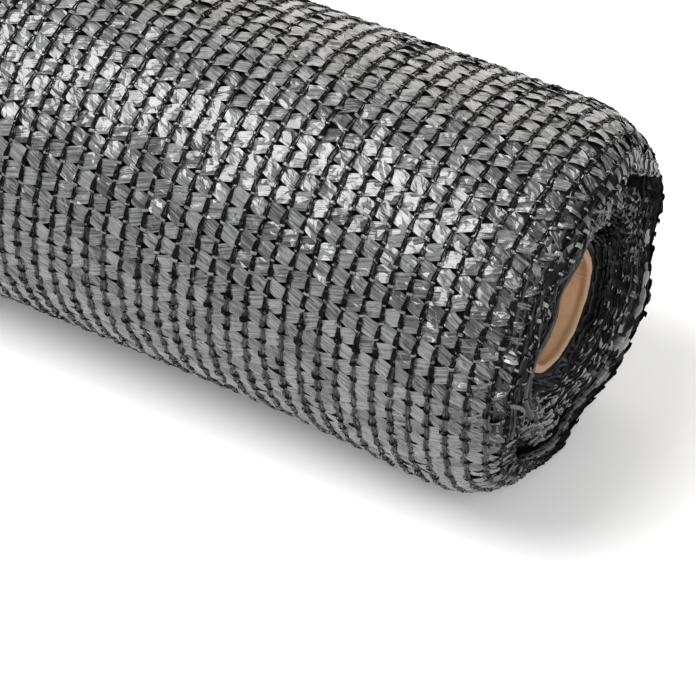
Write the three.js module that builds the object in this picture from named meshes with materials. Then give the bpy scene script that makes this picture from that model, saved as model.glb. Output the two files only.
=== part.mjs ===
// A roll of knitted shade cloth on a cardboard core, lying on its side.
// Millimetres, +Z up. The roll lies along X, and angles run from +Y towards +Z.
import * as THREE from 'three';

// Driving dimensions of the wound cloth
const clothWidth = 1000;
const rollRadius = 41;
const layerStep = 0.7;
const looseEndAngle = 306;
const looseEdgeAngle = 0.5;
const flatDepth = 1.2;
const wrapThickness = 2.2;
const shoulderLength = 14;
const bulgeLength = 55;
const reachLength = 110;
const domeShare = 0.8;

// Driving dimensions of the core
const coreRadius = 13.5;
const coreWall = 1.8;
const coreLength = 992;
const coreBevel = 0.3;
const coreClearance = 0.3;
const coreShiftY = -0.7;
const coreShiftZ = -0.7;

// The form of an end, in millimetres, in rows evenly spaced round the roll.
// wrap, roll, inner: how far the outer wrap, the layers under it and the layers on the core
// stand out past the nominal end. bulge: radius added a little way in from the end.
// drawIn: radius lost at the rim. gap, depth: the gap between the outer wrap and the roll.
const endRows = [
  { angle: 0, wrap: -2, roll: -3, inner: -4, bulge: 0, drawIn: 1, gap: 6.5, depth: 9 },
  { angle: 45, wrap: 0, roll: -2, inner: -3.5, bulge: 0, drawIn: 8, gap: 3.5, depth: 7 },
  { angle: 90, wrap: 5, roll: 2, inner: -1.5, bulge: 0, drawIn: 5.5, gap: 1, depth: 3 },
  { angle: 135, wrap: 3, roll: 3, inner: -0.7, bulge: 0.4, drawIn: 4, gap: 1, depth: 2 },
  { angle: 180, wrap: 3.5, roll: 1.5, inner: -1.5, bulge: 1.2, drawIn: 3.5, gap: 1.5, depth: 4 },
  { angle: 225, wrap: -2.5, roll: -1, inner: -3.5, bulge: 2, drawIn: 7, gap: 4, depth: 8 },
  { angle: 270, wrap: -3.5, roll: -3, inner: -4, bulge: 1, drawIn: 2.5, gap: 3, depth: 7 },
  { angle: 315, wrap: -0.5, roll: -2.5, inner: -4, bulge: 0, drawIn: 0.5, gap: 3.5, depth: 8 },
];

// Slow unevenness of the outside, and the wavy edges of the layers
const swell = { height: 0.35, length: 270, turns: 2 };
const edgeWaves = [
  { height: 0.4, turns: 7, lag: 0.4 },
  { height: 0.3, turns: 12, lag: 1.9 },
];
const layerLag = 2;

// Mesh density: distances in from the end along the outer wall and the bore
const clothColumns = 80;
const coreColumns = 48;
const wallInsets = [430, 340, 250, 160, 90, 55, 38, 27, 19, 13, 9.5, 6.5, 4, 2, 0.8];
const boreInsets = [60, 250];

const halfWidth = clothWidth / 2;
const boreRadius = coreRadius + coreClearance;
const fullTurn = 2 * Math.PI;
const { smoothstep, lerp, euclideanModulo, degToRad } = THREE.MathUtils;

// One end's row of values at an angle in radians, eased between the rows of the table.
function endRow(angle) {
  const turn = euclideanModulo(angle / fullTurn, 1) * endRows.length;
  const first = endRows[Math.floor(turn) % endRows.length];
  const next = endRows[(Math.floor(turn) + 1) % endRows.length];
  const share = smoothstep(turn - Math.floor(turn), 0, 1);
  const row = {};
  for (const column of Object.keys(first)) {
    row[column] = lerp(first[column], next[column], share);
  }
  return row;
}

// Wavy edge of a layer: sine waves round the roll that differ from layer to layer.
function edgeWave(angle, layer) {
  const lag = layerLag * layer;
  return edgeWaves.reduce(
    (sum, wave) => sum + wave.height * Math.sin(wave.turns * angle + wave.lag + lag), 0);
}

// Radius of the outside: the plain roll, spiralled down by one layer over a turn, with slow
// swells, a bulge near the end and a quarter-round shoulder at the rim.
function outsideRadius(along, inset, angle, row) {
  const sinceEnd = euclideanModulo(angle / fullTurn - looseEndAngle / 360, 1);
  const wave = Math.sin(fullTurn * along / swell.length + swell.turns * angle);
  const bulge = 1 - smoothstep(inset, 0, bulgeLength);
  const shoulder = Math.max(0, 1 - inset / shoulderLength);
  const rounding = 1 - Math.sqrt(1 - shoulder * shoulder);
  return rollRadius - layerStep * (1 - sinceEnd) + swell.height * wave
    + row.bulge * bulge - (row.drawIn + row.bulge) * rounding;
}

// One end's section, from the outer wall in to the bore. inset is the distance in from the
// layers' edge. inward counts from the rim, across from 0 to 1 over the gap, and toRoll from
// 0 at the bore to 1 at the roll's own edge.
function endSection() {
  return [
    ...wallInsets.map((inset) => ({ kind: 'wall', inset })),
    { kind: 'lip', inward: 0.15, inset: 0.2 },
    { kind: 'lip', inward: 0.6, inset: 0 },
    { kind: 'lip', inward: 1, inset: 0.6 },
    { kind: 'gap', across: 0.12, deep: 1 },
    { kind: 'gap', across: 0.75, deep: 1 },
    { kind: 'gap', across: 1, deep: 0.5 },
    { kind: 'face', toRoll: 0.97, inset: 1.2 },
    { kind: 'face', toRoll: 0.84, inset: 0 },
    { kind: 'face', toRoll: 0.6, inset: 0.5 },
    { kind: 'face', toRoll: 0.35, inset: 0 },
    { kind: 'face', toRoll: 0.06, inset: 0 },
    { kind: 'bore', inset: 0.6 },
    ...boreInsets.map((inset) => ({ kind: 'bore', inset })),
  ];
}

// The closed section of the wound cloth: outer wall, +X end, bore and -X end.
function clothSection() {
  const plus = endSection().map((point) => ({ ...point, side: 1 }));
  const minus = endSection().map((point) => ({ ...point, side: -1 }));
  const outerMiddle = { kind: 'wall', inset: halfWidth, side: 1 };
  const boreMiddle = { kind: 'bore', inset: halfWidth, side: 1 };
  return [outerMiddle, ...plus, boreMiddle, ...minus.reverse(), outerMiddle];
}

// Angle of a column. The columns on both sides of the loose end close up to it.
function columnAngle(column) {
  const step = 360 / clothColumns;
  const degrees = (column % clothColumns) * step;
  const before = degrees < looseEndAngle && degrees + step >= looseEndAngle;
  const after = degrees >= looseEndAngle && degrees - step < looseEndAngle;
  if (before) return degToRad(looseEndAngle - looseEdgeAngle);
  return degToRad(after ? looseEndAngle : degrees);
}

// Radius of a point of the section, and its distance in from the nominal end. The table's
// angle is the point's own at the +X end, and half a turn on at the other.
function placeInSection(point, angle) {
  const tableAngle = point.side > 0 ? angle : angle + Math.PI;
  const row = endRow(tableAngle);
  const inset = point.inset ?? 0;
  const fromEnd = 1 - smoothstep(inset, 0, reachLength);
  const rim = outsideRadius(point.side * (halfWidth - inset), inset, angle, row);
  const wrapEdge = row.wrap + edgeWave(tableAngle, 0);
  const wrapInside = rim - wrapThickness;
  const rollEdge = wrapInside - row.gap;
  if (point.kind === 'wall') {
    return { radius: rim, inset: inset - wrapEdge * fromEnd };
  }
  if (point.kind === 'lip') {
    return { radius: rim - wrapThickness * point.inward, inset: inset - wrapEdge };
  }
  if (point.kind === 'gap') {
    return { radius: wrapInside - row.gap * point.across, inset: row.depth * point.deep - row.roll };
  }
  if (point.kind === 'face') {
    const layers = lerp(row.inner, row.roll, smoothstep(point.toRoll, 0, domeShare));
    const edge = layers + edgeWave(tableAngle, point.toRoll) * point.toRoll;
    return { radius: lerp(boreRadius, rollEdge, point.toRoll), inset: inset - edge };
  }
  return { radius: boreRadius, inset: inset - row.inner * fromEnd };
}

// The laid place of a point: about the shifted core inside, about the roll's own axis outside,
// and no lower than the flat underside.
function layPoint(point, angle, target) {
  const { radius, inset } = placeInSection(point, angle);
  const inside = 1 - smoothstep(radius, boreRadius, rollRadius);
  const y = radius * Math.cos(angle) + inside * coreShiftY;
  const z = radius * Math.sin(angle) + inside * coreShiftZ;
  return target.set(point.side * (halfWidth - inset), y, Math.max(z, flatDepth - rollRadius));
}

// A lathe of the closed section, each of its points then laid where the cloth lies.
function woundCloth() {
  const section = clothSection();
  const profile = section.map((point) => new THREE.Vector2(rollRadius, point.inset ?? 0));
  const geometry = new THREE.LatheGeometry(profile, clothColumns);
  const position = geometry.getAttribute('position');
  const laid = new THREE.Vector3();
  for (let column = 0; column <= clothColumns; column += 1) {
    const angle = columnAngle(column);
    section.forEach((point, row) => {
      layPoint(point, angle, laid);
      position.setXYZ(column * section.length + row, laid.x, laid.y, laid.z);
    });
  }
  geometry.computeVertexNormals();
  const material = new THREE.MeshStandardMaterial({
    color: 0x55585a, roughness: 0.45, metalness: 0,
  });
  const mesh = new THREE.Mesh(geometry, material);
  mesh.name = 'wound_cloth';
  return mesh;
}

// A plain tube along X with its four cut edges eased.
function coreTube() {
  const outer = coreRadius;
  const inner = coreRadius - coreWall;
  const end = coreLength / 2;
  const profile = [
    new THREE.Vector2(outer, -end + coreBevel),
    new THREE.Vector2(outer, end - coreBevel),
    new THREE.Vector2(outer - coreBevel, end),
    new THREE.Vector2(inner + coreBevel, end),
    new THREE.Vector2(inner, end - coreBevel),
    new THREE.Vector2(inner, -end + coreBevel),
    new THREE.Vector2(inner + coreBevel, -end),
    new THREE.Vector2(outer - coreBevel, -end),
  ];
  profile.push(profile[0]);
  const geometry = new THREE.LatheGeometry(profile, coreColumns);
  const material = new THREE.MeshStandardMaterial({
    color: 0x9a7a60, roughness: 0.9, metalness: 0,
  });
  const mesh = new THREE.Mesh(geometry, material);
  mesh.name = 'core_tube';
  mesh.rotation.z = -Math.PI / 2;
  mesh.position.set(0, coreShiftY, coreShiftZ);
  return mesh;
}

// The roll stands on its flat underside, with its box centred over the origin.
function roll() {
  const group = new THREE.Group();
  group.add(woundCloth(), coreTube());
  const box = new THREE.Box3().setFromObject(group);
  const centre = box.getCenter(new THREE.Vector3());
  group.position.set(-centre.x, -centre.y, -box.min.z);
  return group;
}

export default roll();
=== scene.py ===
import math

import bpy
import numpy as np
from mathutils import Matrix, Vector


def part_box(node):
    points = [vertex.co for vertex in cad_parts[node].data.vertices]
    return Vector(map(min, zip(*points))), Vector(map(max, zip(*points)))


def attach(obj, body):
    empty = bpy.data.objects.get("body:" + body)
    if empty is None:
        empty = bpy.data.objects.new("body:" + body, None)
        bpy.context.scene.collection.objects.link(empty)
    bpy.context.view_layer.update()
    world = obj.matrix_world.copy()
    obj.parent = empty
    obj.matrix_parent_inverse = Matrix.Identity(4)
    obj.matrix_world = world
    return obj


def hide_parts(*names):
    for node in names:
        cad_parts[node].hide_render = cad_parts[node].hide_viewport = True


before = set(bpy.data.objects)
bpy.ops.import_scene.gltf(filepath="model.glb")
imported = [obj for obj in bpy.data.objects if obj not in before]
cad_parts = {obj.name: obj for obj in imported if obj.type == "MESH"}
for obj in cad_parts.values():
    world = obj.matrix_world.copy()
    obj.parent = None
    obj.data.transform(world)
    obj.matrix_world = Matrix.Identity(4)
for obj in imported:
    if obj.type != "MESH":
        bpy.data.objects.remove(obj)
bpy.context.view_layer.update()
mm = 0.001  # the shapes below are in millimetres, Blender's objects in metres
fullTurn = 2 * math.pi
print("frame loaded:", sorted(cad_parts))

# the wound form, with the same driving sizes as the solid
roll = dict(
    width=1000, radius=41, layerStep=0.7, looseEnd=math.radians(306),
    flatDepth=1.2, wrapThickness=2.2, shoulder=14, bulgeLength=55, domeShare=0.8,
    coreRadius=13.5, coreWall=1.8, coreClearance=0.3, coreShift=-0.7,
    swellHeight=0.35, swellLength=270, swellTurns=2, layerLag=2,
    edgeWaves=[(0.4, 7, 0.4), (0.3, 12, 1.9)],  # height, turns, lag
)
# the form of an end, in rows evenly spaced round the roll from +Y towards +Z
endRows = dict(
    wrap=[-2, 0, 5, 3, 3.5, -2.5, -3.5, -0.5],  # reach of the outer wrap
    roll=[-3, -2, 2, 3, 1.5, -1, -3, -2.5],  # reach of the layers under it
    inner=[-4, -3.5, -1.5, -0.7, -1.5, -3.5, -4, -4],  # reach of the layers on the core
    bulge=[0, 0, 0, 0.4, 1.2, 2, 1, 0],  # radius added near the end
    drawIn=[1, 8, 5.5, 4, 3.5, 7, 2.5, 0.5],  # radius lost at the rim
    gap=[6.5, 3.5, 1, 1, 1.5, 4, 3, 3.5],  # between the wrap and the roll
    depth=[9, 7, 3, 2, 4, 8, 7, 8],  # how deep that gap is
)
# how the cloth lies on that form. A zone is a direction in degrees and the two cosines to it over
# which it fades in. A pair named From or Fade is where a change starts and ends.
drape = dict(
    floorSoft=0.6, floorClear=0.02, gather=8, gatherSpread=2, gatherMost=3.5,
    hang=0.6, hangMost=2.5, hangFrom=(2, 5), hangIn=3, liftTurn=0.8,
    gapFills=[(0.85, (290, 0.35, 0.75)), (0.5, (30, 0.4, 0.9))],  # share, zone
    nearBack=1.4, nearZone=(180, 0.2, 0.9), nearFade=(0.45, 0.8),
    edgeBack=2.2, edgeFrom=(0.84, 1.05), firstLayer=1.2, coreClear=0.3, leanMost=1.2,
)
# the knit's lattice: wales across the cloth, courses along it
lattice = dict(wales=244, walePitch=4.1667, courses=70)
wales, walePitch, courses = lattice.values()
coursePitch = fullTurn * (roll["radius"] - roll["layerStep"] / 2) / courses
clothHalf = wales * walePitch / 2  # the shoulders take up more cloth than the roll is long
halfWidth = roll["width"] / 2
boreRadius = roll["coreRadius"] + roll["coreClearance"]
coreLow, coreHigh = (np.array(corner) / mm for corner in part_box("core_tube"))
coreEnd = (coreHigh[0] - coreLow[0]) / 2
axisY, axisZ = ((coreLow + coreHigh) / 2)[1:] - roll["coreShift"]
ends = {"plus": 1, "minus": -1}


# cubic ease from 0 to 1 over low..high
def ease(value, low=0.0, high=1.0):
    share = np.clip((value - low) / (high - low), 0, 1)
    return share * share * (3 - 2 * share)


# straight mix: the first value at share 0, the second at 1
def mix(first, second, share):
    return first + (second - first) * share


# how far an angle lies inside a zone: the cosine to its direction, eased
def inZone(angle, zone):
    degrees, low, high = zone
    return ease(np.cos(angle - math.radians(degrees)), low, high)


# sum of sines round the roll. Each wave has a height, its turns and a factor of the phase.
def sines(angle, phase, waves, shift=0):
    return sum(height * np.sin(turns * angle + lag * phase + shift) for height, turns, lag in waves)


# values side by side on a last axis, spread to one shape
def stacked(*values):
    return np.stack(np.broadcast_arrays(*values), -1)


# angle round the roll after some turns since the loose end
def angleAt(wind):
    return roll["looseEnd"] + fullTurn * wind


# one column of endRows at any angle, eased between its rows
def endValue(column, angle):
    rows = np.array(endRows[column], float)
    turn = np.mod(angle / fullTurn, 1) * len(rows)
    row = np.floor(turn).astype(int) % len(rows)
    return mix(rows[row], rows[(row + 1) % len(rows)], ease(turn - np.floor(turn)))


# wavy edge of a layer: sines round the roll, with a lag from layer to layer
def edgeWave(angle, layer):
    return sines(angle, 1, roll["edgeWaves"], roll["layerLag"] * layer)


# the angle at which the end table is read: the far end has the same form half a turn on
def tableAngle(angle, side):
    return angle + np.where(side < 0, math.pi, 0)


# point at a radius and angle about the roll's axis, drawn to the shifted core inside. The floor
# stands at a radius that grows as 1 / -sin. What would pass it is pressed together above it, along
# an exponential, so the layers keep their order.
def place(x, radius, angle):
    soft = drape["floorSoft"]
    down = np.maximum(-np.sin(angle), 1e-6)  # above 0, because it divides
    floorRadius = (roll["radius"] - roll["flatDepth"]) / down - drape["floorClear"]
    excess = np.maximum(radius - floorRadius + soft, 0)
    radius = radius - excess + soft * (1 - np.exp(-excess / soft))
    shift = roll["coreShift"] * (1 - ease(radius, boreRadius, roll["radius"]))
    return stacked(x, axisY + radius * np.cos(angle) + shift, axisZ + radius * np.sin(angle) + shift)


# the outside without its shoulder: plain radius, one layer's spiral, slow swells and the bulge
def plainRadius(along, inset, wind):
    angle = angleAt(wind)
    swell = np.sin(fullTurn * along / roll["swellLength"] + roll["swellTurns"] * angle)
    bulge = endValue("bulge", tableAngle(angle, np.sign(along)))
    return (roll["radius"] - roll["layerStep"] * (1 - wind) + roll["swellHeight"] * swell
            + bulge * (1 - ease(inset, 0, roll["bulgeLength"])))


# length of a quarter of an ellipse, by Ramanujan's formula
def quarterEllipse(first, second):
    return math.pi / 4 * (3 * (first + second) - np.sqrt((3 * first + second) * (first + 3 * second)))


# the cloth laid on the outside: along the roll, in turns since its loose end and off the cloth.
# Near an end it follows a quarter ellipse over the shoulder to the rim. Part of what is to spare
# hangs over the rim, and the rest is gathered towards it along an exponential.
def layOutside(along, wind, lift):
    along, wind, lift = np.broadcast_arrays(along, wind, lift)
    side = np.where(along < 0, -1, 1)
    angle = angleAt(wind)
    turned = tableAngle(angle, side)
    shoulder = roll["shoulder"]
    drop = endValue("drawIn", turned) + endValue("bulge", turned)
    reach = endValue("wrap", turned) + edgeWave(turned, 0)
    arc = quarterEllipse(shoulder, drop)
    spare = clothHalf - halfWidth + shoulder - arc - reach
    hang = np.clip(drape["hang"] * spare, 0, drape["hangMost"]) * ease(drop, *drape["hangFrom"])
    fromEdge = clothHalf - np.abs(along) - hang
    spare = spare - hang
    gather = drape["gather"] + drape["gatherSpread"] * np.maximum(spare - drape["gatherMost"], 0)
    path = fromEdge - spare * (1 - np.exp(-np.maximum(fromEdge, 0) / gather))
    up = np.clip(arc - path, 0, arc)
    bend = up / shoulder * (1 + (math.pi / 2 * shoulder / arc - 1) * (up / arc) ** 2)
    inset = shoulder * (1 - np.sin(bend)) + np.maximum(path - arc, 0)
    past = np.minimum(fromEdge, 0)
    inward = drop / (drop + drape["hangIn"])
    tilt = drape["liftTurn"] * bend
    radius = (plainRadius(side * (halfWidth - inset), inset, wind) - drop * (1 - np.cos(bend))
              + lift * np.cos(tilt) + past * inward)
    x = side * (halfWidth - inset + reach + lift * np.sin(tilt) - past * (1 - inward))
    return place(x, radius, angle)


# the gap between the wrap and the roll, less the share that loose turns fill in some zones
def gapWidth(turned):
    filled = sum(share * inZone(turned, zone) for share, zone in drape["gapFills"])
    return endValue("gap", turned) * (1 - filled)


# radius of the roll's own edge, inside the wrap and its gap
def rollEdge(angle, side):
    turned = tableAngle(angle, side)
    return (roll["radius"] - roll["layerStep"] / 2 - endValue("drawIn", turned)
            - roll["wrapThickness"] - gapWidth(turned))


# reach of the layers under the wrap, domed from the core out to the roll's edge. They stand back
# round the core on the near side, and at the roll's edge.
def layerReach(angle, side, toEdge):
    turned = tableAngle(angle, side)
    share = ease(toEdge, 0, roll["domeShare"])
    layers = mix(endValue("inner", turned), endValue("roll", turned), share)
    near = inZone(turned, drape["nearZone"]) * (1 - ease(toEdge, *drape["nearFade"]))
    return (layers + edgeWave(turned, toEdge) * toEdge - drape["nearBack"] * near
            - drape["edgeBack"] * ease(toEdge, *drape["edgeFrom"]) ** 2)


# a layer under the wrap: toEdge is 0 on the core and 1 at the roll's edge. The last part of the
# layer leans in over the end, along an arc of the given turn.
def layUnder(side, fromEdge, toEdge, angle, lift, lean, leanLength):
    bend = lean * np.clip(1 - fromEdge / leanLength, 0, drape["leanMost"])
    arc = leanLength / lean
    laid = mix(boreRadius + drape["firstLayer"], rollEdge(angle, side), np.minimum(toEdge, 1))
    radius = laid - arc * (1 - np.cos(bend)) + lift * np.cos(bend)
    back = (arc * (np.sin(lean) - np.sin(bend)) + np.maximum(fromEdge - leanLength, 0)
            - lift * np.sin(bend))
    x = side * (halfWidth + layerReach(angle, side, toEdge) - back)
    return place(x, np.maximum(radius, boreRadius + drape["coreClear"]), angle)


# many like grids as one mesh. points is (patches, rows, columns, 3); uv and tone go with them.
def patchMesh(name, points, uv=None, tone=None, smooth=False, closed=False):
    patches, rows, columns = points.shape[:3]
    index = np.arange(patches * rows * columns).reshape(patches, rows, columns)
    if closed:
        index = np.concatenate([index, index[:, :1]], 1)
        index = np.concatenate([index, index[:, :, :1]], 2)
    corners = [index[:, :-1, :-1], index[:, :-1, 1:], index[:, 1:, 1:], index[:, 1:, :-1]]
    quads = np.stack(corners, -1).reshape(-1, 4)
    mesh = bpy.data.meshes.new(name)
    mesh.vertices.add(points.size // 3)
    mesh.vertices.foreach_set("co", (points * mm).astype(np.float32).ravel())
    mesh.loops.add(quads.size)
    mesh.loops.foreach_set("vertex_index", quads.astype(np.int32).ravel())
    mesh.polygons.add(len(quads))
    mesh.polygons.foreach_set("loop_start", np.arange(0, quads.size, 4, dtype=np.int32))
    mesh.polygons.foreach_set("use_smooth", np.full(len(quads), smooth))
    if uv is not None:
        layer = mesh.uv_layers.new(name="cloth")
        layer.data.foreach_set("uv", uv.reshape(-1, 2)[quads.ravel()].astype(np.float32).ravel())
    if tone is not None:
        attribute = mesh.attributes.new("tone", "FLOAT", "POINT")
        spread = np.broadcast_to(each(tone), points.shape[:3])
        attribute.data.foreach_set("value", spread.astype(np.float32).ravel())
    mesh.update()
    mesh.validate()
    piece = bpy.data.objects.new(name, mesh)
    bpy.context.scene.collection.objects.link(piece)
    print(f"{name}: {2 * len(quads)} triangles")
    return piece


# one value for each patch, ready to spread over its rows and columns
def each(values):
    return values[:, None, None]


# the axes of a patch: along it from start to stop, and over its width from -1 to 1
def patchAxes(grid, start, stop):
    rows, columns = grid
    return np.linspace(start, stop, rows)[None, :, None], np.linspace(-1, 1, columns)[None, None, :]


# a function that draws a number in -size..size for each patch, or for each group that index names
def drawer(random, count, index=slice(None)):
    return lambda size=1: each(random.uniform(-1, 1, count)[index]) * size


# 1 for every second course and -1 for the others
def alternate(course):
    return each(np.where(course % 2, 1, -1))


# the knit: chains round the roll, and flat tape laid zigzag between each pair of chains
knit = dict(
    seed=5, nearColumns=36, nearGrid=(6, 5), farGrid=(3, 4), underlap=2,
    tapeWidth=3.68, widthSpread=0.06, zigzag=0.74, zigzagSpread=0.3, shingle=0.12,
    bow=0.34, sink=0.26, hold=0.5, tilt=0.3, twist=0.32, crease=0.12, crinkle=0.1,
    pinch=0.3, shift=0.12, wander=0.12, selvedgeTape=[0.6, 0.6, 0.8],
    crumpleLength=8.5, crumpleZone=(140, 0.5, 0.95), crumpleLeast=0.3, crumplePaintedShade=1.9,
    crumpleRough=2, crumpleNarrow=0.4, spin=0.5, slide=0.6, flop=0.9,
    foldFrom=(0.35, 0.8), foldTurn=1.0, foldNarrow=0.5,
    toneSpread=1.7, paintedGlints=0.12, paintedGlintFrom=(0.3, 0.5), paintedGlintTone=2.2,
    underColumns=8, underGrid=(4, 4), underBelow=0.35, underPaintedShade=1.4, underLeast=0.13,
)
uvSpread = 50  # so that no two patches take their streaks from the same part of the texture


# where strips lie in the cloth, as (strips, rows, columns) arrays: across it, along it and off it.
# Each runs from chain to chain, alternately rising and falling by the zigzag. It bows up between
# them, and is tilted, twisted and creased by its own random amounts, more where crumpled.
def tapeStrips(column, course, grid, crumple, narrow, random):
    count, columns = len(column), grid[1]
    u, v = patchAxes(grid, 0, 1)
    inner = (u > 0) * (u < 1) * (np.abs(v) < 1) * knit["shift"]
    u = u + inner * random.uniform(-1, 1, (count, *grid))
    v = v + inner * random.uniform(-2, 2, (count, *grid))
    span = 2 * u - 1
    draw = drawer(random, count)
    loose = each(crumple)
    rough = 1 + knit["crumpleRough"] * loose
    slope = alternate(course) * knit["zigzag"] * (1 + draw(knit["zigzagSpread"]))
    folded = ease(loose, *knit["foldFrom"])
    width = knit["tapeWidth"] * each(narrow) * (1 + draw(knit["widthSpread"]))
    width = width * (1 - knit["crumpleNarrow"] * loose) * (1 - knit["foldNarrow"] * folded)
    spin = draw(knit["spin"]) * loose + np.sign(draw()) * knit["foldTurn"] * folded
    half = v * width / 2
    across = ((each(column) + 0.5 + span / 2 * np.cos(spin)) * walePitch - half * np.sin(spin)
              + draw(knit["slide"]) * loose)
    along = ((each(course) + 0.5) * coursePitch + slope * span + half * np.cos(spin)
             + span * walePitch / 2 * np.sin(spin) + draw(knit["wander"]) + draw(knit["slide"]) * loose)
    creased = random.uniform(-1, 1, (count, 1, columns)) * knit["crease"] * rough
    crinkle = random.uniform(-1, 1, (count, *grid)) * knit["crinkle"] * rough
    pinch = random.uniform(-1, 1, (2, count, 1, columns)) * knit["pinch"]
    crinkle = crinkle + np.where(span > 0, pinch[0], pinch[1]) * np.abs(span) ** 3
    turn = draw(knit["tilt"]) * rough + draw(knit["twist"]) * rough * span + knit["shingle"]
    free = 1 - knit["hold"] * span ** 2
    lift = (knit["bow"] * (1 - span ** 4) - knit["sink"] + (turn * v + creased) * free + crinkle
            + draw(knit["flop"]) * loose * span)
    return across, along, lift, stacked(u * walePitch + draw(uvSpread), half + draw(uvSpread))


chain = dict(
    seed=11, nearGrid=(6, 3), farGrid=(4, 3), selvedge=1.35, stray=0.6, rise=0.4,
    lean=0.2, leanSpread=0.5, overlap=0.12, waist=0.22, belly=0.4, bellyAt=0.76,
    headNarrow=0.7, widthSpread=0.2, wander=0.12, slip=0.15, ragged=0.05,
    raggedRise=0.4, base=0.1, arch=0.3, waistArch=0.6, climb=0.22,
    open=0.9, openFrom=(0.55, 0.85), legApart=0.22, legNarrow=0.24, legRise=0.12,
    lowFade=(0.05, 0.45), lowPaintedLight=(1.5, 2.0),
)


# links of the chains: each is a narrow tape from knot to knot, of two legs side by side, or of one
# where leg is 0. Its middle leans from side to side, its half width swells from waist to belly, each
# leg's section is an arch, and its head climbs over the next link's foot. Where crumpled it strays.
def chainLinks(wale, course, leg, grid, crumple, size, random):
    q, v = patchAxes(grid, 0, 1)
    links, link = np.unique(np.stack([wale, course]), axis=1, return_inverse=True)
    draw = drawer(random, links.shape[1], link.ravel())
    loose, leg, size = each(crumple), each(leg), each(size)
    leaning = alternate(course) * chain["lean"] * (1 + draw(chain["leanSpread"]))
    top = chain["bellyAt"]
    swell = np.where(q < top, ease(q, 0, top), 1 - chain["headNarrow"] * ease(q, top, 1))
    half = (chain["waist"] + chain["belly"] * swell) * (1 + draw(chain["widthSpread"])) * size
    ragged = random.uniform(-1, 1, (len(wale), *grid)) * chain["ragged"]
    high = ease(np.sin(each(angleAt(course / courses))), *chain["openFrom"])
    opened = chain["open"] * high * np.abs(draw() * leg)
    middle = leg * (0.5 + chain["legApart"] * opened)
    spread = 1 - np.abs(leg) * (0.5 + chain["legNarrow"] * opened)
    across = (each(wale) * walePitch + leaning * (1 - 2 * q) + draw(chain["wander"])
              + draw(chain["stray"]) * loose + half * (middle + v * spread) + ragged)
    reach = mix(-chain["overlap"], 1 + chain["overlap"], q)
    along = (each(course) + reach) * coursePitch + draw(chain["slip"])
    arch = chain["arch"] * (1 - v ** 2) * mix(chain["waistArch"], 1, swell) * size
    lift = (chain["base"] + arch + chain["climb"] * (q - 0.5) + draw(chain["legRise"]) * leg
            + ragged * chain["raggedRise"] + draw(chain["rise"]) * loose)
    return across, along, lift, stacked(across, along)


knot = dict(
    grid=(6, 3), width=0.6, height=0.4, length=0.22, spread=0.25, base=0.08,
    arch=0.06, turn=0.3, slip=0.2, low=1.35,
)


# the loop over each knot: a narrow band that arches across the chain. leg has no use here.
def chainKnots(wale, course, leg, grid, crumple, size, random):
    turn, v = patchAxes(grid, 0, math.pi)
    draw = drawer(random, len(wale))
    loose = each(crumple)
    size = each(size) * (1 + draw(knot["spread"]))
    lift = (knot["height"] * np.sin(turn) * size + knot["base"]
            + knot["arch"] * (1 - v ** 2) + draw(chain["rise"]) * loose)
    across = (each(wale) * walePitch + alternate(course) * chain["lean"]
              - knot["width"] * size * np.cos(turn) + draw(chain["stray"]) * loose)
    along = (each(course) * coursePitch + knot["length"] * v * size ** 2
             + draw(knot["turn"]) * np.cos(turn) + draw(knot["slip"]))
    return across, along, lift, stacked(across, along)


# loops of tape: what all have in common, those of the selvedge and the curls of the inner turns
loop = dict(
    grid=(11, 3), length=6, base=0.1, bow=0.3, pivot=1.5, sharp=2.5,
    drawPower=1.8, standPower=1.5,
    spanSpread=0.25, tipSpread=0.6, standSpread=0.4, widthSpread=0.2,
)
selvedge = dict(
    loop, span=1.7, flare=0.2, depth=4.4, tip=0.5, narrow=1.1, wide=1.6,
    stand=0.7, lowStand=0.25, standFrom=(0.2, 0.8), paintedShadeBelow=0.9, lowFade=(-0.7, -0.2),
    round=0.0, spin=0.5, tilt=0.4, rise=0.5, crinkle=0.12,
)
curl = dict(
    loop, span=0.6, flare=0.7, depth=3.2, narrow=0.5, wide=0.9, stand=0.6,
    round=0.22, spin=0.9, tilt=0.5, rise=0.6, crinkle=0.06,
)


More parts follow.
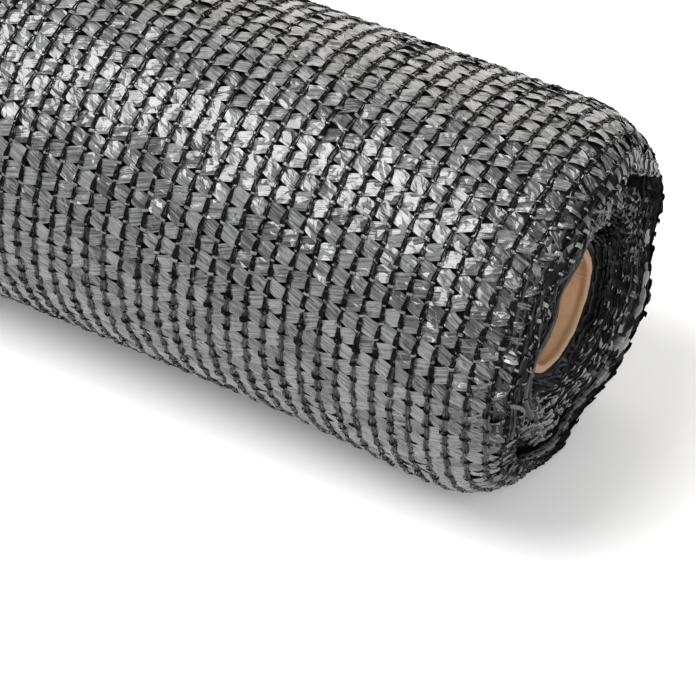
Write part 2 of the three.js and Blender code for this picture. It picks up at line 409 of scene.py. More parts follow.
# tape turned back round a selvedge, as (loops, rows, columns) arrays. Its path is a U: a hyperbolic
# tangent of the way along it sets its legs apart, and a power of that way draws them in from the
# edge. It is narrowest at the turn, where it stands on its side. Where crumpled it is tipped.
def edgeLoops(shape, course, crumple, tip, stand, random):
    way, v = patchAxes(shape["grid"], -1, 1)
    draw = drawer(random, len(course))
    loose = each(crumple)
    far = np.abs(way)
    apart = (shape["span"] * (1 + draw(shape["spanSpread"])) * np.tanh(shape["sharp"] * way)
             + shape["flare"] * way * far)
    drawn = shape["depth"] * far ** shape["drawPower"] - each(tip) * (1 + draw(shape["tipSpread"]))
    stepAlong, stepAcross = np.gradient(apart, axis=1), np.gradient(drawn, axis=1)
    step = np.hypot(stepAlong, stepAcross)
    onSide = each(stand) * (1 - far) ** shape["standPower"] * (1 + draw(shape["standSpread"]))
    half = v * mix(shape["narrow"], shape["wide"], far) * (1 + draw(shape["widthSpread"])) / 2
    apart = apart - half * np.cos(onSide) * stepAcross / step
    drawn = drawn + half * np.cos(onSide) * stepAlong / step
    spin = draw(shape["spin"]) * loose
    fromPivot = drawn - shape["pivot"]
    across = shape["pivot"] + fromPivot * np.cos(spin) - apart * np.sin(spin)
    along = each(course) * coursePitch + apart * np.cos(spin) + fromPivot * np.sin(spin)
    crinkle = random.uniform(-1, 1, across.shape) * shape["crinkle"] * (1 + loose)
    tilt = draw(shape["tilt"]) * loose * fromPivot + draw(shape["tilt"]) * loose * apart
    lift = (shape["base"] + half * np.sin(onSide) + shape["bow"] * far * (1 - far) + crinkle
            + shape["round"] * (1 - v ** 2) + tilt + draw(shape["rise"]) * loose)
    return across, along, lift, stacked(way * shape["length"] + draw(uvSpread), half + draw(uvSpread))


# how crumpled the cloth is: most on the upper near side, and falling off from the edge along an
# exponential
def crumpleAt(wale, course):
    along = wale * walePitch - clothHalf
    zone = inZone(tableAngle(angleAt(course / courses), np.sign(along)), knit["crumpleZone"])
    fromEdge = clothHalf - np.abs(along)
    return np.exp(-fromEdge / knit["crumpleLength"]) * mix(knit["crumpleLeast"], 1, zone)


# every pair of a place across the cloth and a course, from the first course to the last
def latticePlaces(across, firstCourse):
    column, course = np.meshgrid(across, np.arange(firstCourse, courses), indexing="ij")
    return column.ravel(), course.ravel()


# a piece of the outer turn, from the arrays that a maker of strips, links or loops gives
def outerPiece(name, made, tone, below=0, smooth=True):
    across, along, lift, uv = made
    points = layOutside(across - clothHalf, along / coursePitch / courses, lift - below)
    return patchMesh(name, points, uv, tone, smooth)


# strips of the outer turn between two columns of the cloth, or of the turn below, half a course on.
# They are painted darker as shade where crumpled and on the turn below, and a few crumpled ones a
# light grey as glints.
def outerTape(name, first, last, grid, random, below=0, shade=0):
    column, course = latticePlaces(np.arange(first, last), -knit["underlap"])
    course = course + (0.5 if below else 0)
    crumple = crumpleAt(column + 0.5, course + 0.5)
    if below:
        kept = crumple > knit["underLeast"]
        column, course, crumple = column[kept], course[kept], crumple[kept]
    fromEdge = np.minimum(column, wales - 1 - column)
    edgeTape = knit["selvedgeTape"]
    narrow = np.array(edgeTape + [1])[np.minimum(fromEdge, len(edgeTape))]
    strips = tapeStrips(column, course, grid, crumple, narrow, random)
    tone = mix(0.5, random.uniform(0, 1, len(column)), knit["toneSpread"])
    # painted shade: darker where crumpled, and darker still on the turn below
    tone = tone - knit["crumplePaintedShade"] * crumple - shade
    # painted highlights: a few crumpled strips take a light grey, as glints
    paintedGlint = random.uniform(0, 1, len(column)) < knit["paintedGlints"] * ease(crumple, *knit["paintedGlintFrom"])
    return outerPiece(name, strips, np.where(paintedGlint, knit["paintedGlintTone"], tone), below, smooth=False)


# the turned-back tape at one edge of the outer turn, a loop to every two courses. The loops stand
# up more above, and are painted darker below and where crumpled, as shade.
def outerLoops(name, side, random):
    course = np.arange(0 if side > 0 else 1, courses, 2)
    crumple = crumpleAt(wales if side > 0 else 0, course)
    tip = np.full(len(course), selvedge["tip"])
    height = np.sin(angleAt(course / courses))
    stand = selvedge["stand"] * mix(selvedge["lowStand"], 1, ease(height, *selvedge["standFrom"]))
    across, *others = edgeLoops(selvedge, course, crumple, tip, stand, random)
    across = 2 * clothHalf - across if side > 0 else across
    tone = random.uniform(0, 1, len(course)) - knit["crumplePaintedShade"] * crumple
    tone = tone - selvedge["paintedShadeBelow"] * (1 - ease(height, *selvedge["lowFade"]))
    return outerPiece(name, (across, *others), tone)


# how far a course lies round to the lower side, where the chains are painted grey between black
# knots, as sheen from the floor
def lowSide(course):
    return 1 - ease(np.sin(angleAt(course / courses)), *chain["lowFade"])


# links or knots of the outer turn between two wales, with sizes for above and below. At size 0
# there are none. Those of the selvedges are thicker.
def outerChain(name, first, last, grid, random, maker, legs=(0,), sizes=(1, 1)):
    wale, course = latticePlaces(np.arange(first, last), -knit["underlap"])
    size = np.where(lowSide(course) > 0.5, sizes[1], sizes[0])
    wale, course, size = (np.tile(values[size > 0], len(legs)) for values in (wale, course, size))
    leg = np.repeat(legs, len(wale) // len(legs))
    crumple = crumpleAt(wale, course)
    thick = np.minimum(size * chain["selvedge"], chain["selvedge"])
    size = np.where(wale % wales == 0, thick, size)
    made = maker(wale, course, leg, grid, crumple, size, random)
    tone = random.uniform(0, 1, len(wale))
    if maker is chainLinks:
        fromEdge = np.minimum(wale, wales - wale)
        # painted sheen: links of the lower side take tones above 1, a grey
        tone = mix(tone, mix(*chain["lowPaintedLight"], tone), lowSide(course) * (fromEdge > 1))
    return outerPiece(name, made, tone)


folds = dict(
    fromEdge=[0.3, 0.65, 1.3, 1.7], grid=(5, 3), least=0.35, size=0.9,
    sizeSpread=(0.6, 1.4), below=0.35, tone=0.5,
)


# tape drawn into narrow folds that run along the edge, under the strips, where the cloth is
# crumpled. They are single links, at places between the wales, painted dark with the end chains'
# finish as shade in the folds.
def edgeFolds(name, side, random):
    middle = wales / 2
    wale, course = latticePlaces(middle + side * (middle - np.array(folds["fromEdge"])), 0)
    crumple = crumpleAt(wale, course)
    kept = crumple > folds["least"]
    wale, course, crumple = wale[kept], course[kept], crumple[kept]
    size = folds["size"] * random.uniform(*folds["sizeSpread"], len(wale))
    links = chainLinks(wale, course, 0 * size, folds["grid"], crumple, size, random)
    return outerPiece(name, links, random.uniform(0, folds["tone"], len(wale)), folds["below"])


tapeRandom = np.random.default_rng(knit["seed"])
chainRandom = np.random.default_rng(chain["seed"])
nearFirst = wales - knit["nearColumns"]
nearWales = (nearFirst, wales + 1)
# the turn below is painted darker, as shade under the outer turn
under = (knit["underGrid"], tapeRandom, knit["underBelow"], knit["underPaintedShade"])
knots = (*nearWales, knot["grid"], chainRandom, chainKnots)
tapePieces = [
    outerTape("tape_strips_near", nearFirst, wales - 1, knit["nearGrid"], tapeRandom),
    outerTape("tape_strips_far", 1, nearFirst, knit["farGrid"], tapeRandom),
    outerLoops("selvedge_tape_plus", 1, tapeRandom),
    outerLoops("selvedge_tape_minus", -1, tapeRandom),
    outerTape("under_strips_plus", wales - knit["underColumns"], wales - 1, *under),
    outerTape("under_strips_minus", 1, knit["underColumns"], *under),
    outerChain("chain_knots_near", *knots, sizes=(1, 0)),
]
chainPieces = [
    outerChain("chain_links_near", *nearWales, chain["nearGrid"], chainRandom, chainLinks, (-1, 1)),
    outerChain("chain_links_far", 0, nearFirst, chain["farGrid"], chainRandom, chainLinks),
]
lowKnots = outerChain("chain_knots_low", *knots, sizes=(0, knot["low"]))

# the layers that show at the ends: the turns inside the wrap, and the roll's own turns
coil = dict(
    seed=23, wrapTurns=3, wrapPitch=0.85, turns=20, wrapIn=3, rollIn=8, ring=0.1,
    tapeGrid=(4, 4), linkGrid=(4, 3), hemGrid=(8, 5), tapeNarrow=0.4,
    # how the turns' edges waver: height, turns and factor of the turn's phase
    phase=2.399, ruffle=0.8, ruffleWaves=[(1, 5, 1), (0.6, 13, 3), (0.4, 29, 7)],
    ruffleBack=1.4, ruffleCore=0.2, ruffleFrom=(0, 0.4), wrapRuffle=0.5,
    sway=0.35, swayWaves=[(1, 9, 2), (0.7, 23, 5)],
    waverAt=135, waverMean=0.7, waverSwing=0.3, spiralMost=1.2,
    ropes=7, ropeTight=0.7, ropeReach=0.7, ropeWaves=[(1.2, 2, 1), (0.8, 5, 0)],
    # how far they lean in over the end
    lean=1.0, leanFrom=(0.45, 0.9), leanFar=0.3, leanLow=0.7, leanZone=(285, 0.3, 0.9),
    leanCore=0.15, leanRiseFrom=(0.05, 0.6), leanLength=6.5,
    # how crumpled they are, and how far their loops and chains reach out
    crumple=0.5, wrapCrumple=0.6, coreCrumple=0.25, crumpleFrom=(0, 0.35),
    tip=0.35, lowTip=0.8, lowTipFrom=(0.05, 0.3), wrapTip=1.0, wrapStand=0.15,
    coreBack=2.5, coreFade=(0.12, 0.42),
    farBack=0.6, backZone=(10, 0.3, 0.8), backFade=(0.6, 0.85),
    loopZone=(300, 0.2, 0.4), plainZone=(165, 0.2, 0.6), plainMost=0.9,
    edgeLink=0.85, lowLink=0.8, nextLink=0.8, linkSink=0.3, lowSink=0.5, wrapLink=0.3,
    # their greys: a random spread, with painted light and shade by zone: darker on the near side, the
    # far side (less so at its rim) and in the wrap, lighter below and on the ridge
    toneSpread=1.4, nearPaintedShade=-1.3, wrapPaintedShade=2.0, wrapLowPaintedShade=-1.4,
    lowPaintedLight=0.9, lowZone=(295, 0.2, 0.8),
    farPaintedShade=-1.7, farZone=(5, 0.4, 0.9), farRim=0.7, farRimFrom=(0.7, 0.95),
    ridgePaintedLight=1.8, ridgeZone=(22, 0.65, 0.92), ridgeFrom=(0.5, 0.78), ridgeLinkPaintedLight=1.2,
    linkTone=0.4, lowLinkPaintedLight=0.6,
)
# the wrap's edge rolled to face out: on the rim of the far side painted light grey as highlights,
# and greyer below
hems = dict(
    rim=dict(zone=(320, 0.8, 0.94), size=1.0, inset=-0.25, rise=1.85, swell=1.5, tone=(1.9, 3.0)),
    low=dict(zone=(278, 0.7, 0.86), size=1.6, inset=0.1, rise=1.1, swell=1.2, tone=(-0.4, 1.6)),
)


# the layers of one end. Each turn has its loops, the next column of strips and the chains of both,
# laid with the turn's own wavy reach and sway, which are sines of the angle and of its number.
# Every few turns lie closer together and stand out as ropes.
def endLayers(label, side, random):
    turn = np.arange(coil["wrapTurns"] + coil["turns"])
    inWrap = turn < coil["wrapTurns"]
    toEdge = 1 - (turn - coil["wrapTurns"] + 0.5) / coil["turns"]
    inRoll = mix(boreRadius, roll["radius"] - coil["rollIn"], toEdge)
    radius = np.where(inWrap, roll["radius"] - coil["wrapIn"], inRoll)
    perTurn = (fullTurn * radius / coursePitch).astype(int) // 2 * 2
    perTurn = np.where(toEdge < coil["ring"], 0, perTurn)  # a plain ring is left round the core

    # points of the turns: under the outside in the wrap, and otherwise between core and roll's edge
    def lay(number, across, along, lift):
        number = each(number)
        wind = along / coursePitch / perTurn[number]
        angle = angleAt(wind)
        turned = tableAngle(angle, side)
        near = coil["waverMean"] + coil["waverSwing"] * np.cos(turned - math.radians(coil["waverAt"]))
        phase = number * coil["phase"]  # golden angle, so no two turns ruffle alike
        ruffle = coil["ruffle"] * near * (sines(angle, phase, coil["ruffleWaves"]) - coil["ruffleBack"])
        sway = coil["sway"] * near * sines(angle, phase, coil["swayWaves"])
        spiral = np.clip(toEdge[number] - wind / coil["turns"], 0, coil["spiralMost"])
        ropeTurns = fullTurn * coil["ropes"]
        rope = ropeTurns * spiral + sines(angle, 1, coil["ropeWaves"])
        bunched = spiral + coil["ropeTight"] * np.sin(rope) / ropeTurns
        ruffle = ruffle - coil["ropeReach"] * np.cos(rope)
        ruffle = ruffle * mix(coil["ruffleCore"], 1, ease(spiral, *coil["ruffleFrom"]))
        lean = (coil["leanFar"] + coil["lean"] * ease(near, *coil["leanFrom"])
                + coil["leanLow"] * inZone(turned, coil["leanZone"]))
        lean = lean * mix(coil["leanCore"], 1, ease(spiral, *coil["leanRiseFrom"]))
        length = coil["leanLength"]
        swayed = lift + sway * np.clip(1 - across / length, 0, 1)
        under = layUnder(side, across - ruffle, bunched, angle, swayed, lean, length)
        fromEdge = across + coil["wrapRuffle"] * np.abs(ruffle)
        outer = layOutside(side * (clothHalf - fromEdge), wind, lift - coil["wrapPitch"] * (number + 1))
        return np.where(inWrap[number][..., None], outer, under)

    # every course of every turn: how crumpled it is, its grey with painted light and shade by zone, and
    # how far its loop reaches out
    number = np.repeat(turn, perTurn)
    course = np.arange(len(number)) - np.repeat(np.cumsum(perTurn) - perTurn, perTurn)
    turned = tableAngle(angleAt(course / perTurn[number]), side)
    wrapped, outward = inWrap[number], toEdge[number]
    zone = lambda name: inZone(turned, coil[name])  # how far inside one of coil's zones
    fade = lambda name: ease(outward, *coil[name])  # a change from the core outward
    crumple = mix(coil["coreCrumple"], 1, fade("crumpleFrom"))
    crumple = coil["crumple"] * np.where(wrapped, coil["wrapCrumple"], crumple)
    low = zone("lowZone")
    far = zone("farZone") * (1 - coil["farRim"] * fade("farRimFrom"))
    ridge = zone("ridgeZone") * fade("ridgeFrom") * ~wrapped
    # painted light and shade by zone, added to each course's random grey
    shade = mix(mix(coil["nearPaintedShade"], coil["lowPaintedLight"], low), coil["farPaintedShade"], far)
    shade = np.where(wrapped, mix(-coil["wrapPaintedShade"], coil["wrapLowPaintedShade"], low), shade)
    shade = shade + coil["ridgePaintedLight"] * ridge
    coreBack = coil["coreBack"] * (1 - fade("coreFade"))
    farBack = coil["farBack"] * zone("backZone") * (1 - fade("backFade"))
    tip = mix(coil["tip"], coil["lowTip"], low * fade("lowTipFrom")) - coreBack - farBack
    tip = np.where(wrapped, coil["wrapTip"], tip)
    stand = np.where(wrapped, coil["wrapStand"], 1)

    # a piece of the chosen courses, in random greys with their painted light and shade
    def tapePiece(name, chosen, made, smooth):
        across, along, lift, uv = made
        tone = random.uniform(0, 1, chosen.sum()) * coil["toneSpread"] + shade[chosen]
        return patchMesh(f"{name}_{label}", lay(number[chosen], across, along, lift), uv, tone, smooth)

    # loops of the chosen courses
    def layLoops(name, shape, chosen):
        made = edgeLoops(shape, course[chosen], crumple[chosen], tip[chosen],
                         shape["stand"] * stand[chosen], random)
        return tapePiece(name, chosen, made, smooth=True)

    # a hem: links of the wrap's last turn stood on end, so that their arch faces out
    def layHem(name, hem):
        chosen = (number == coil["wrapTurns"] - 1) & (inZone(turned, hem["zone"]) > 0.5)
        size = np.full(chosen.sum(), hem["size"])
        zero = 0 * size
        across, along, lift, uv = chainLinks(
            zero, course[chosen], zero, coil["hemGrid"], crumple[chosen], size, random)
        points = lay(number[chosen], hem["inset"] - hem["swell"] * lift, along, across + hem["rise"])
        return patchMesh(name, points, uv, random.uniform(*hem["tone"], len(size)), smooth=True)

    plain = (zone("plainZone") >= 0.5) & (outward <= coil["plainMost"])
    looped = wrapped & (course % 2 == (0 if side > 0 else 1)) & (zone("loopZone") > 0.5)
    curls = layLoops("end_curls", curl, ~wrapped & ~plain)
    loops = layLoops("wrap_loops", selvedge, looped)
    hemPieces = [layHem(f"{where}_hem_{label}", hem) for where, hem in hems.items()]
    one = np.ones((~wrapped).sum())
    strips = tapeStrips(
        one, course[~wrapped], coil["tapeGrid"], crumple[~wrapped], one * coil["tapeNarrow"], random)
    tape = tapePiece("end_tape", ~wrapped, strips, smooth=False)
    wale = np.repeat([0, 1], len(number))
    both = np.tile(np.arange(len(number)), 2)
    size = np.where(wale == 0, mix(coil["edgeLink"], coil["lowLink"], low[both]), coil["nextLink"])
    across, along, lift, uv = chainLinks(
        wale, course[both], 0 * size, coil["linkGrid"], crumple[both], size, random)
    sunk = np.where(wrapped, -coil["wrapLink"], coil["linkSink"] + coil["lowSink"] * low)
    sunk = sunk[both] * (1 - wale) + coreBack[both]
    points = lay(number[both], across + each(sunk), along, lift)
    # painted light: links below and on the ridge are lighter
    lit = coil["lowLinkPaintedLight"] * low + coil["ridgeLinkPaintedLight"] * ridge
    tone = random.uniform(0, coil["linkTone"], len(both)) + lit[both]
    links = patchMesh(f"end_chain_{label}", points, uv, tone, smooth=True)
    return [curls, loops, tape] + hemPieces, links


# long folds that run along the turns: beside the core on the near side, over the far side and on
# the ridge of the upper far side. They take the dark finish of the end chains as painted shade, and
# those on the ridge are painted lighter, as light on it.
crease = dict(
    grid=(56, 3), length=40, uvStep=9, halfSpread=(0.7, 1.3), arch=0.8,
    slow=0.3, slowWaves=[(1, 4, 1), (0.6, 11, 2)], riseWaves=[(0.2, 7, 1)],
    edgeWaves=[(1, 29, 4)], crinkleWaves=[(1, 43, 3)], fineWaves=[(1, 71, 5)],
)
creases = dict(
    core=dict(toEdge=(0.05, 0.78), count=26, start=(95, 150), stop=(165, 218), half=0.38, lean=0.9,
              forward=0.4, tone=(0, 0.8), crinkle=0),
    far=dict(toEdge=(0.12, 0.74), count=12, start=(-85, -40), stop=(10, 60), half=0.5, lean=0.3,
             forward=-0.3, tone=(0, 0.8), crinkle=0.12),
    ridge=dict(toEdge=(0.6, 0.92), count=10, start=(-30, 0), stop=(12, 46), half=0.8, lean=0.3,
               forward=0.2, tone=(0.3, 1.5), crinkle=0.3),
)


# each fold is a ribbon that narrows to its ends by a fourth power, arched in section, with slow
# sines along it and quick ones that crinkle it
def longFolds(name, zone, side, random):
    count = zone["count"]
    toEdge = each(np.linspace(*zone["toEdge"], count))
    share, v = patchAxes(crease["grid"], 0, 1)
    start, stop = (each(np.radians(random.uniform(*zone[end], count))) for end in ("start", "stop"))
    turned = mix(start, stop, share)
    phase = each(random.uniform(0, fullTurn, count))
    half = zone["half"] * (1 - (2 * share - 1) ** 4)
    half = half * each(random.uniform(*crease["halfSpread"], count))
    fromEdge = (half * v + crease["slow"] * sines(turned, phase, crease["slowWaves"]) - zone["forward"]
                + zone["crinkle"] * sines(turned, phase, crease["edgeWaves"]) * (1 + v))
    crinkle = (sines(turned, phase, crease["crinkleWaves"], v)
               + sines(turned, phase, crease["fineWaves"], -2 * v))
    lift = (crease["arch"] * half * (1 - v ** 2) + sines(turned, phase, crease["riseWaves"])
            + zone["crinkle"] * crinkle)
    points = layUnder(side, fromEdge, toEdge, tableAngle(turned, side), lift, zone["lean"],
                      coil["leanLength"])
    uv = stacked(share * crease["length"], half * v + phase * crease["uvStep"])
    return patchMesh(name, points, uv, random.uniform(*zone["tone"], count), smooth=True)


coilRandom = np.random.default_rng(coil["seed"])
endChains = [edgeFolds(f"edge_folds_{label}", side, coilRandom) for label, side in ends.items()]
for label, side in ends.items():
    tapes, links = endLayers(label, side, coilRandom)
    tapePieces += tapes
    endChains.append(links)
    endChains += [longFolds(f"{where}_folds_{label}", zone, side, coilRandom)
                  for where, zone in creases.items()]

# the turns below, painted near-black as shade so that they show dark through the knit: a closed
# grid that follows the wound form
inside = dict(
    angles=180, sink=1.15, wallSteps=60, lipDepth=20, lipSink=0.5, lipTurns=1.9,
    lipRows=(16, 11, 7, 4.5, 2.5), lipBack=1.6,
    lipSection=((0.6, 0, -0.05), (0, 1, 0.2), (0, 1, -0.6), (0.6, 0, -1.1)),  # in, scallop, level
    scallopWaves=[(0.25, 23, 0), (0.25, 38, 1)], scallopOut=0.1,
    gapClear=4, gapSides=(0.4, 0.6),
    faceSteps=13, faceMost=0.97, faceDepth=5, boreDepth=-0.1, boreFrom=(0.02, 0.25),
)


# rows of the closed section, each an array round the roll: outer wall, +X face, bore, -X face.
# A face has a lip over the wrap's edge, scalloped by sines, then the gap and the roll's own end.
def insideTurns():
    wind = np.arange(inside["angles"]) / inside["angles"]
    angle = angleAt(wind)
    stop = clothHalf - inside["lipDepth"]
    below = -coil["wrapPitch"] * inside["lipTurns"]  # the lip fills the wrap but for its innermost turn
    steps = np.linspace(-stop, stop, inside["wallSteps"])
    wall = [layOutside(along, wind, -inside["sink"]) for along in steps]
    scallop = sines(fullTurn * wind, 1, inside["scallopWaves"]) - inside["scallopOut"]
    lip = [(edgeIn, -inside["lipSink"]) for edgeIn in inside["lipRows"]]
    lip += [(edgeIn + share * scallop, level) for edgeIn, share, level in inside["lipSection"]]
    lip += [(inside["lipBack"], below), (inside["lipRows"][0], below)]

    # rows of one end
    def face(side):
        turned = tableAngle(angle, side)
        floor = endValue("roll", turned) - endValue("depth", turned) - inside["gapClear"]
        edge = rollEdge(angle, side)
        outer, inner = edge + gapWidth(turned) - inside["gapSides"][0], edge + inside["gapSides"][1]
        rows = [layOutside(side * (clothHalf - edgeIn), wind, level) for edgeIn, level in lip]
        rows += [place(side * (halfWidth + floor), radius, angle) for radius in (outer, inner)]
        for toEdge in np.linspace(inside["faceMost"], 0, inside["faceSteps"]):
            depth = mix(inside["boreDepth"], inside["faceDepth"], ease(toEdge, *inside["boreFrom"]))
            x = side * (halfWidth + layerReach(angle, side, toEdge) - depth)
            rows.append(place(x, mix(boreRadius, edge, toEdge), angle))
        return rows

    rows = np.array(wall + face(1) + face(-1)[::-1])
    uv = stacked(rows[..., 0] / walePitch, wind * courses)
    return patchMesh("inside_turns", rows[None], uv[None], smooth=True, closed=True)


insidePiece = insideTurns()

# the core: a spiral-wound board tube
core = dict(
    columns=96, bevel=0.3, alongSteps=24, fray=0.12, frayLength=1,
    frayWaves=[(0.5, 5, 1), (0.5, 11, 0), (0.3, 23, 0)],
)


# a closed section of outer wall, eased cut end, bore and eased cut end, turned about the axis.
# The cut ends waver by sines of the angle.
def coreBoard():
    angle = np.arange(core["columns"]) / core["columns"] * fullTurn
    bevel = core["bevel"]
    outer, inner = roll["coreRadius"], roll["coreRadius"] - roll["coreWall"]
    stations = np.linspace(-coreEnd + bevel, coreEnd - bevel, core["alongSteps"])
    section = [(x, outer) for x in stations] + [(coreEnd, outer - bevel), (coreEnd, inner + bevel)]
    section += [(x, inner) for x in stations[::-1]]
    section += [(-coreEnd, inner + bevel), (-coreEnd, outer - bevel)]
    x, radius = (np.array(values)[:, None] for values in zip(*section))
    waver = core["fray"] * (sines(angle, 1, core["frayWaves"]) - 1)
    x = x + np.sign(x) * waver * (np.abs(x) > coreEnd - core["frayLength"])
    centre = (coreLow + coreHigh) / 2
    points = stacked(x, centre[1] + radius * np.cos(angle), centre[2] + radius * np.sin(angle))
    uv = stacked(x, angle / fullTurn)
    return patchMesh("core_board", points[None], uv[None], smooth=True, closed=True)


corePiece = coreBoard()


# one output of a node. Sums, differences and products with it, on either side, add Math nodes.
class Wire:
    def __init__(self, tree, socket):
        self.tree = tree
        self.socket = socket

    def __add__(self, other):
        return maths("ADD", self, other)

    def __sub__(self, other):
        return maths("SUBTRACT", self, other)

    def __rsub__(self, other):
        return maths("SUBTRACT", other, self)

    def __mul__(self, other):
        return maths("MULTIPLY", self, other)

    __radd__ = __add__
    __rmul__ = __mul__


# any node: its type, the values or links of its sockets, the output that is used, and its settings,
# which are set first
def addNode(tree, kind, inputs, output=0, **settings):
    node = tree.nodes.new(kind)
    for name, value in settings.items():
        setattr(node, name, value)
    for name, value in inputs.items():
        if isinstance(value, Wire):
            tree.links.new(value.socket, node.inputs[name])
        else:
            node.inputs[name].default_value = value
    return Wire(tree, node.outputs[output])


# a Math node: the operation on one or two values, of which one at least is a wire
def maths(operation, *values, clamp=False):
    tree = next(value.tree for value in values if isinstance(value, Wire))
    inputs = dict(enumerate(values))
    return addNode(tree, "ShaderNodeMath", inputs, operation=operation, use_clamp=clamp)


# straight mix of two colours, with the share held between 0 and 1
def mixColours(share, first, second):
    return addNode(share.tree, "ShaderNodeMix", {0: share, 6: first, 7: second}, 2,
                   data_type="RGBA", clamp_factor=True)


# noise at a spot, with its scale and detail
def noise(spot, scale, detail=2.0, **inputs):
    return addNode(spot.tree, "ShaderNodeTexNoise",
                   {"Vector": spot, "Scale": scale, "Detail": detail, **inputs})


# normal of a surface bumped by a height, to a depth in millimetres
def bumped(height, depth, strength=1.0):
    return addNode(height.tree, "ShaderNodeBump",
                   {"Height": height, "Strength": strength, "Distance": depth * mm})


# a material with an empty tree
def newMaterial(name):
    material = bpy.data.materials.new(name)
    material.use_nodes = True
    material.node_tree.nodes.clear()
    return material, material.node_tree


# the cloth's own coordinates, in millimetres or in wales and courses
def clothUv(tree):
    return addNode(tree, "ShaderNodeUVMap", {}, uv_map="cloth")


# the grey of each patch
def patchTone(tree):
    return addNode(tree, "ShaderNodeAttribute", {}, "Fac", attribute_name="tone")


# one part of a vector
def part(vector, axis):
    return addNode(vector.tree, "ShaderNodeSeparateXYZ", {0: vector}, axis)


# the shader of a material, with the gloss of its look, linked to its output
def finishMaterial(material, look, inputs):
    tree = material.node_tree
    gloss = {"Roughness": look["rough"], "Specular IOR Level": look["specular"]}
    shader = addNode(tree, "ShaderNodeBsdfPrincipled", {**gloss, **inputs})
    surface = tree.nodes.new("ShaderNodeOutputMaterial")
    tree.links.new(shader.socket, surface.inputs["Surface"])
    return material


# grey number as a colour
def grey(value, warm=0.0):
    return (value * (1 + warm), value, value * (1 - warm), 1)


tapeLook = dict(
    dark=grey(0.022, -0.02), light=grey(0.168, -0.01), paintedHighlight=grey(0.5), paintedHighlightFrom=2.0,
    toneShare=0.45, streakShare=3.0, shareFrom=1.25, rough=0.24, roughSpread=0.12,
    streakAcross=2.0, streakAlong=0.14, streakDepth=0.08, specular=1.0,
)


# flat glossy tape: a grey that differs from strip to strip, with fine lengthwise streaks. Above a
# tone of 2 it turns a light grey, a painted highlight.
def tapeMaterial(look):
    material, tree = newMaterial("grey_tape")
    stretch = {0: clothUv(tree), 1: (look["streakAlong"], look["streakAcross"], 1)}
    stretched = addNode(tree, "ShaderNodeVectorMath", stretch, operation="MULTIPLY")
    streak = noise(stretched, 1.0)
    tone = patchTone(tree)
    share = tone * look["toneShare"] + streak * look["streakShare"] - look["shareFrom"]
    colour = mixColours(share, look["dark"], look["light"])
    colour = mixColours(tone - look["paintedHighlightFrom"], colour, look["paintedHighlight"])
    rough = streak * look["roughSpread"] + look["rough"] - look["roughSpread"] / 2
    return finishMaterial(material, look, {
        "Base Color": colour, "Roughness": rough, "Normal": bumped(streak, look["streakDepth"])})


chainLook = dict(
    dark=grey(0.0015), light=grey(0.005), low=grey(0.08), rough=0.35, roughSpread=0.12,
    specular=0.06, glintScale=1.1, glintFrom=0.55, glintRise=7.0, glintRough=0.12,
    glintIor=1.8,
)
# painted shade: a duller copy of the chain's finish for the knots of the lower side, which read black
# in their crevices
lowKnotLook = dict(chainLook, rough=0.6, specular=0.02)
# the chains, folds and creases of the ends: a lighter copy of the chain's finish, whose greys are
# painted light and shade by their tone
endChainLook = dict(
    chainLook, dark=grey(0.004), light=grey(0.08), rough=0.38, specular=0.2, glintFrom=0.62)


# near-black narrow tape of the chains, with glossy folds here and there. Above a tone of 1 it is
# painted grey, as sheen on the lower side of the roll and as light on lit parts of the ends
def chainMaterial(name, look):
    material, tree = newMaterial(name)
    tone = patchTone(tree)
    colour = mixColours(tone, look["dark"], look["light"])
    colour = mixColours(tone - 1, colour, look["low"])
    fold = noise(clothUv(tree), look["glintScale"])
    glint = maths("MULTIPLY", fold - look["glintFrom"], look["glintRise"], clamp=True)
    return finishMaterial(material, look, {
        "Base Color": colour, "Roughness": tone * look["roughSpread"] + look["rough"],
        "Coat Weight": glint, "Coat Roughness": look["glintRough"], "Coat IOR": look["glintIor"]})


insideLook = dict(dark=grey(0.004), light=grey(0.014), rough=0.6, specular=0.12, weaveDepth=0.3)


# the turns below: cloth painted near-black as shade, with the same wales and courses as a soft
# relief
def insideMaterial(look):
    material, tree = newMaterial("shaded_cloth")
    wale, course = (maths("SINE", part(clothUv(tree), axis) * fullTurn) for axis in "XY")
    weave = wale * course * 0.5 + 0.5
    colour = mixColours(weave, look["dark"], look["light"])
    return finishMaterial(material, look, {
        "Base Color": colour, "Normal": bumped(weave, look["weaveDepth"])})


boardLook = dict(
    dark=(0.25, 0.14, 0.074, 1), light=(0.52, 0.33, 0.195, 1), cut=(0.33, 0.21, 0.13, 1),
    fibreScale=900.0, fibreDetail=4.0, fibreRough=0.65, fibreShare=0.6,
    blotchScale=130.0, blotchShare=0.7, shareFrom=0.2,
    plyPitch=45, seam=0.012, seamDark=0.5, upperPaintedShade=0.28, shadowBandAt=1.1, shadowBandWidth=0.7, shadowBandDepth=1.1,
    cutLength=0.55, cutShare=0.7, rough=0.85, specular=0.2, reliefShare=0.4, reliefDepth=0.15,
)


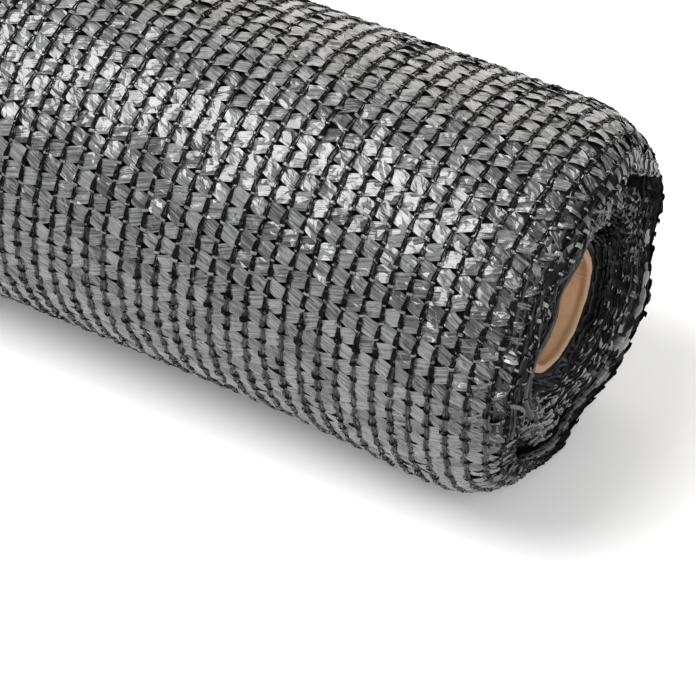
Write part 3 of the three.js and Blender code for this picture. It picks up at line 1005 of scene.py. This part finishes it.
# brown board: mottled fibre, a spiral seam where the plies butt, a painted shadow ring by the end,
# along a bell curve, painted shade on the upper side and painted light on the lower, and a paler
# cut end
def boardMaterial(look):
    material, tree = newMaterial("core_board")
    along, turn = (part(clothUv(tree), axis) for axis in "XY")
    spot = addNode(tree, "ShaderNodeTexCoord", {}, "Object")
    fibre = noise(spot, look["fibreScale"], look["fibreDetail"], Roughness=look["fibreRough"])
    blotch = noise(spot, look["blotchScale"])
    spiral = maths("FRACT", along * (1 / look["plyPitch"]) + turn)
    seam = maths("LESS_THAN", spiral, look["seam"])
    far = maths("ABSOLUTE", along)
    # painted shadow just inside each end, a bell curve along the tube
    offShadowBand = (far - (coreEnd - look["shadowBandAt"])) * (1 / look["shadowBandWidth"])
    shadowBand = maths("EXPONENT", offShadowBand * offShadowBand * -1)
    # painted shade above the axis and painted light below it, a sine of the turn
    upper = maths("SINE", turn * fullTurn)
    share = (fibre * look["fibreShare"] + blotch * look["blotchShare"] - look["shareFrom"]
             - seam * look["seamDark"] - shadowBand * blotch * look["shadowBandDepth"] - upper * look["upperPaintedShade"])
    colour = mixColours(share, look["dark"], look["light"])
    cutEnd = maths("GREATER_THAN", far, coreEnd - look["cutLength"])
    colour = mixColours(cutEnd * look["cutShare"], colour, look["cut"])
    normal = bumped(fibre - seam, look["reliefDepth"], look["reliefShare"])
    return finishMaterial(material, look, {"Base Color": colour, "Normal": normal})


clothPieces = [
    (tapePieces, tapeMaterial(tapeLook)),
    (chainPieces, chainMaterial("dark_chain", chainLook)),
    ([lowKnots], chainMaterial("shaded_knot", lowKnotLook)),
    (endChains, chainMaterial("end_chain_light_and_shade", endChainLook)),
    ([insidePiece], insideMaterial(insideLook)),
]
for pieces, material in clothPieces:
    for piece in pieces:
        piece.data.materials.append(material)
        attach(piece, "root")
corePiece.data.materials.append(boardMaterial(boardLook))
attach(corePiece, "root")
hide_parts("wound_cloth")
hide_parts("core_tube")
print("materials set on", sum(len(pieces) for pieces, material in clothPieces) + 1, "pieces")

# the stage: a pale floor, soft lights and an even surround, in metres
stage = dict(floorSize=6.0, surround=0.5, lightAt=0.85)  # the lights point along the roll's half
floorLook = dict(colour=grey(0.9), rough=0.9, specular=0.5, glow=0.1)
softLights = dict(
    key=dict(toward=(-0.364, -0.3, 0.882), distance=1.1, size=0.85, radiance=8.0, colour=(1, 1, 1)),
    fill=dict(toward=(0.72, -0.44, 0.58), distance=1.6, size=1.3, radiance=2.6, colour=(1, 1, 1)),
    back=dict(toward=(-0.36, 0.85, 0.38), distance=1.7, size=1.7, radiance=2.1, colour=(1, 0.96, 0.91)),
)
# the photograph's view: the place of the camera from the axis at the near end, and its angles
view = dict(
    alongAxis=493, offset=(180.2, -390.9, 394.5), azimuth=30.17, elevation=43.56,
    lens=150.2, sensor=36, clip=(0.01, 50),
)


# a level square, which glows a little
def addFloor():
    size = stage["floorSize"] / mm / 2
    grid = np.linspace(-size, size, 3)
    x, y = np.meshgrid(grid, grid)
    floor = patchMesh("floor", np.stack([x, y, 0 * x], -1)[None][:, ::-1])
    colour = floorLook["colour"]
    floor.data.materials.append(finishMaterial(newMaterial("floor")[0], floorLook, {
        "Base Color": colour, "Emission Color": colour, "Emission Strength": floorLook["glow"]}))


# a lamp or camera at a place, with its back turned to a direction
def addAimed(name, data, location, back):
    aimed = bpy.data.objects.new(name, data)
    bpy.context.scene.collection.objects.link(aimed)
    aimed.location = location
    aimed.rotation_mode = "QUATERNION"
    aimed.rotation_quaternion = back.to_track_quat("Z", "Y")
    return aimed


# round lamps about a target. A lamp's power is its radiance times pi times its area.
def addLights(target):
    world = bpy.data.worlds.new("surround")
    bpy.context.scene.world = world
    world.use_nodes = True
    background = world.node_tree.nodes["Background"]
    background.inputs["Color"].default_value = (1, 1, 1, 1)
    background.inputs["Strength"].default_value = stage["surround"]
    for name, soft in softLights.items():
        light = bpy.data.lights.new(name, "AREA")
        light.shape = "DISK"
        light.size = soft["size"]
        light.energy = soft["radiance"] * math.pi ** 2 * soft["size"] ** 2 / 4
        light.color = soft["colour"]
        toward = Vector(soft["toward"]).normalized()
        addAimed(name, light, target + toward * soft["distance"], toward)


# the camera, turned by its azimuth about the vertical and raised by its elevation
def addCamera():
    lens = bpy.data.cameras.new("camera")
    lens.lens = view["lens"]
    lens.sensor_width = view["sensor"]
    lens.clip_start, lens.clip_end = view["clip"]
    location = (Vector((view["alongAxis"], axisY, axisZ)) + Vector(view["offset"])) * mm
    azimuth, elevation = math.radians(view["azimuth"]), math.radians(view["elevation"])
    level = math.cos(elevation)
    back = Vector((math.sin(azimuth) * level, -math.cos(azimuth) * level, math.sin(elevation)))
    bpy.context.scene.camera = addAimed("camera", lens, location, back)


addFloor()
addLights(Vector((halfWidth * stage["lightAt"], axisY, axisZ)) * mm)
addCamera()
bpy.context.scene.view_settings.view_transform = "Standard"
print("stage set")
